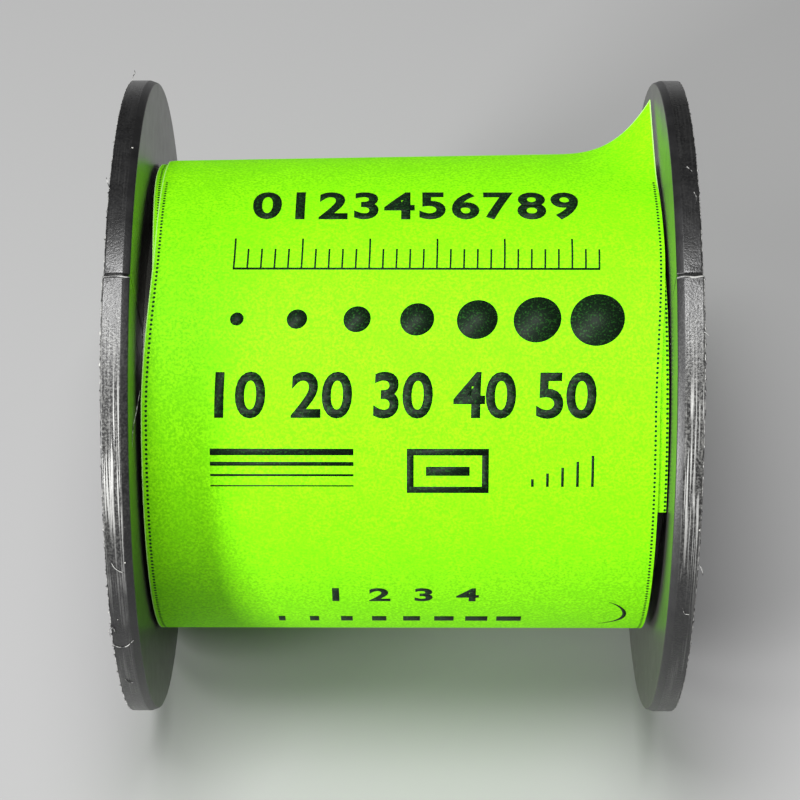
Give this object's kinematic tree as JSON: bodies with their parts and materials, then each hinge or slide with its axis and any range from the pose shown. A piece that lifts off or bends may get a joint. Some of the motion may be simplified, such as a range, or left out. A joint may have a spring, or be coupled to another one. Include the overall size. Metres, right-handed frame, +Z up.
{
  "type": "solder wire spool",
  "caption": "Flanged black plastic spool of solder wire, wrapped in a green paper strip, with a central bore for a spindle.",
  "frame": {"origin": "centre of the spindle bore, half way between the two flanges", "axes": "+X along the spindle bore, +Z up with the spool lying on the rims of both flanges, -Y towards the front"},
  "size_m": [0.043, 0.05, 0.05],
  "materials": {
    "spool_plastic": "matte",
    "solder": "satin",
    "label_paper": "matte"
  },
  "bodies": {
    "root": {"spool": "spool_plastic", "wire_inner_layers": "solder", "wire_outer_layer": "solder", "wire_start": "solder", "label_strip": "label_paper"}
  },
  "joints": []
}
